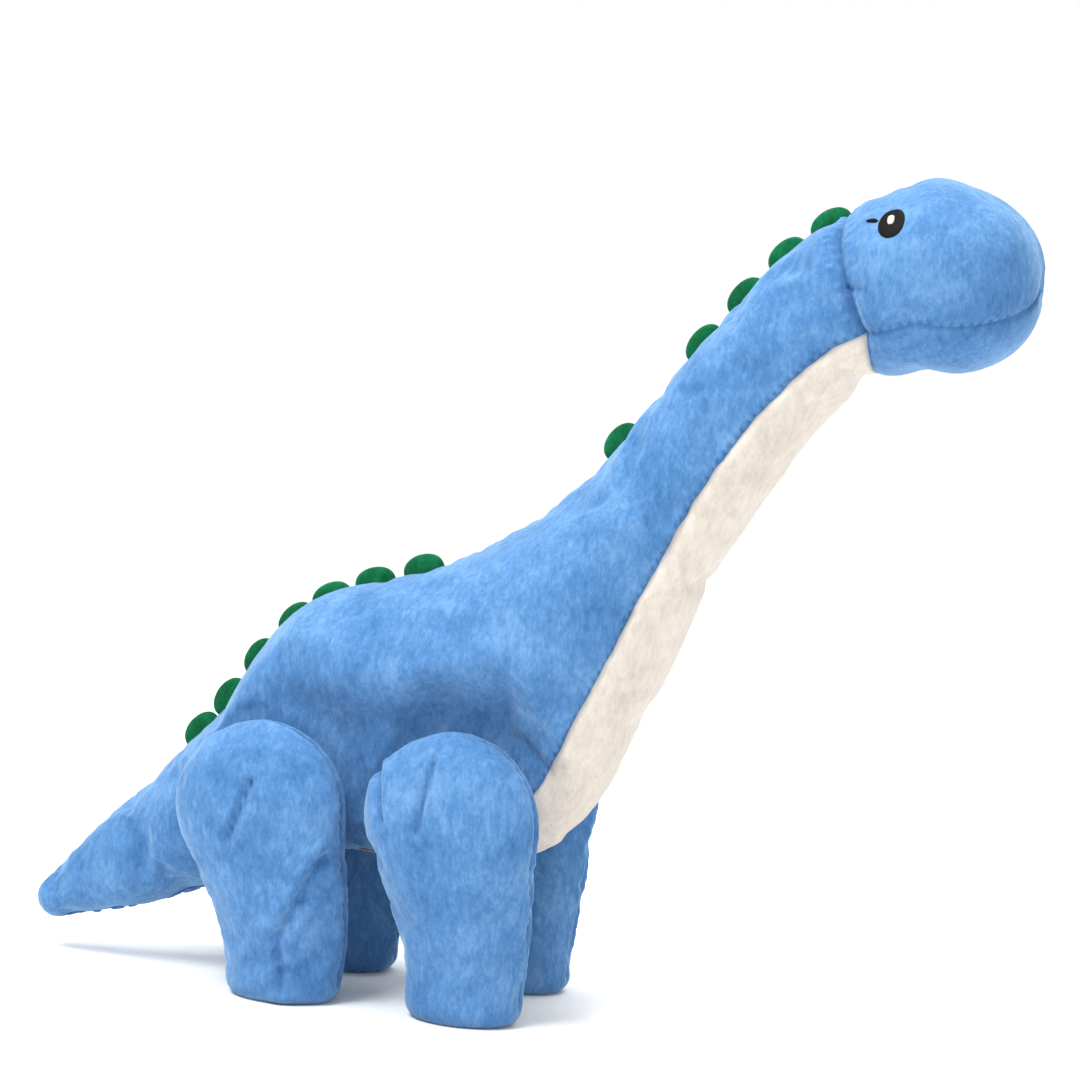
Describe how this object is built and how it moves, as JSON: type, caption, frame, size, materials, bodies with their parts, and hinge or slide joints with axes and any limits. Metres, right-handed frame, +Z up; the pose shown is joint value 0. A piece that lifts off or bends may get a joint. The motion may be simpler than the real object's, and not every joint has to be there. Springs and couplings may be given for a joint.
{
  "type": "stuffed toy",
  "caption": "Soft plush long-necked dinosaur standing on four stubby legs, with a round head, short tail, felt back spikes and embroidered eyes.",
  "frame": {"origin": "On the floor, below the middle of the whole toy's length and width", "axes": "+X is the way the dinosaur looks, +Y is to its left, +Z is up; the toy is drawn standing at rest"},
  "size_m": [0.4226, 0.132, 0.3581],
  "materials": {
    "blue_plush": "short pile plush, mid blue with a soft pale sheen",
    "cream_plush": "very short pile plush, cream",
    "green_felt": "green plush felt, padded",
    "black_thread": "satin-stitched black embroidery thread",
    "white_thread": "satin-stitched off-white embroidery thread",
    "stuffing_fibre": "loose polyester fibre fill, hidden inside the skins"
  },
  "bodies": {
    "torso": {"torso_stuffing": "stuffing_fibre", "torso_right_panel": "blue_plush", "torso_left_panel": "blue_plush", "belly_panel": "cream_plush", "spike_06": "green_felt", "spike_07": "green_felt", "spike_08": "green_felt", "spike_09": "green_felt", "spike_10": "green_felt", "spike_11": "green_felt", "spike_12": "green_felt"},
    "neck": {"neck_stuffing": "stuffing_fibre", "neck_right_panel": "blue_plush", "neck_left_panel": "blue_plush", "throat_panel": "cream_plush", "spike_01": "green_felt", "spike_02": "green_felt", "spike_03": "green_felt", "spike_04": "green_felt", "spike_05": "green_felt"},
    "head": {"head_stuffing": "stuffing_fibre", "head_right_panel": "blue_plush", "head_left_panel": "blue_plush", "chin_panel": "blue_plush", "right_eye_pupil": "black_thread", "right_eye_highlight": "white_thread", "right_eye_lash": "black_thread", "left_eye_pupil": "black_thread", "left_eye_highlight": "white_thread", "left_eye_lash": "black_thread"},
    "tail": {"tail_stuffing": "stuffing_fibre", "tail_right_panel": "blue_plush", "tail_left_panel": "blue_plush"},
    "front_right_leg": {"front_right_leg_stuffing": "stuffing_fibre", "front_right_leg_outer_panel": "blue_plush", "front_right_leg_inner_panel": "blue_plush"},
    "front_left_leg": {"front_left_leg_stuffing": "stuffing_fibre", "front_left_leg_outer_panel": "blue_plush", "front_left_leg_inner_panel": "blue_plush"},
    "rear_right_leg": {"rear_right_leg_stuffing": "stuffing_fibre", "rear_right_leg_outer_panel": "blue_plush", "rear_right_leg_inner_panel": "blue_plush"},
    "rear_left_leg": {"rear_left_leg_stuffing": "stuffing_fibre", "rear_left_leg_outer_panel": "blue_plush", "rear_left_leg_inner_panel": "blue_plush"}
  },
  "joints": [
    {"name": "neck_bend", "type": "hinge", "parent": "torso", "child": "neck", "pos_m": [0.04983, 0, 0.19967], "axis": [0, 1, 0], "range_deg": [-12, 12], "stiffness_Nm_per_rad": 2},
    {"name": "head_nod", "type": "hinge", "parent": "neck", "child": "head", "pos_m": [0.12647, 0, 0.30953], "axis": [0, 1, 0], "range_deg": [-8, 11], "stiffness_Nm_per_rad": 0.8},
    {"name": "tail_wag", "type": "hinge", "parent": "torso", "child": "tail", "pos_m": [-0.13176, 0, 0.06735], "axis": [0, 0, 1], "range_deg": [-20, 20], "stiffness_Nm_per_rad": 0.3},
    {"name": "front_right_leg_swing", "type": "hinge", "parent": "torso", "child": "front_right_leg", "pos_m": [-0.00735, -0.0475, 0.083], "axis": [0, 1, 0], "range_deg": [-25, 10], "stiffness_Nm_per_rad": 1.2},
    {"name": "front_left_leg_swing", "type": "hinge", "parent": "torso", "child": "front_left_leg", "pos_m": [-0.00735, 0.0475, 0.083], "axis": [0, 1, 0], "range_deg": [-25, 10], "stiffness_Nm_per_rad": 1.2},
    {"name": "rear_right_leg_swing", "type": "hinge", "parent": "torso", "child": "rear_right_leg", "pos_m": [-0.09135, -0.0475, 0.08], "axis": [0, 1, 0], "range_deg": [-9, 18], "stiffness_Nm_per_rad": 1.2},
    {"name": "rear_left_leg_swing", "type": "hinge", "parent": "torso", "child": "rear_left_leg", "pos_m": [-0.09135, 0.0475, 0.08], "axis": [0, 1, 0], "range_deg": [-9, 18], "stiffness_Nm_per_rad": 1.2}
  ]
}
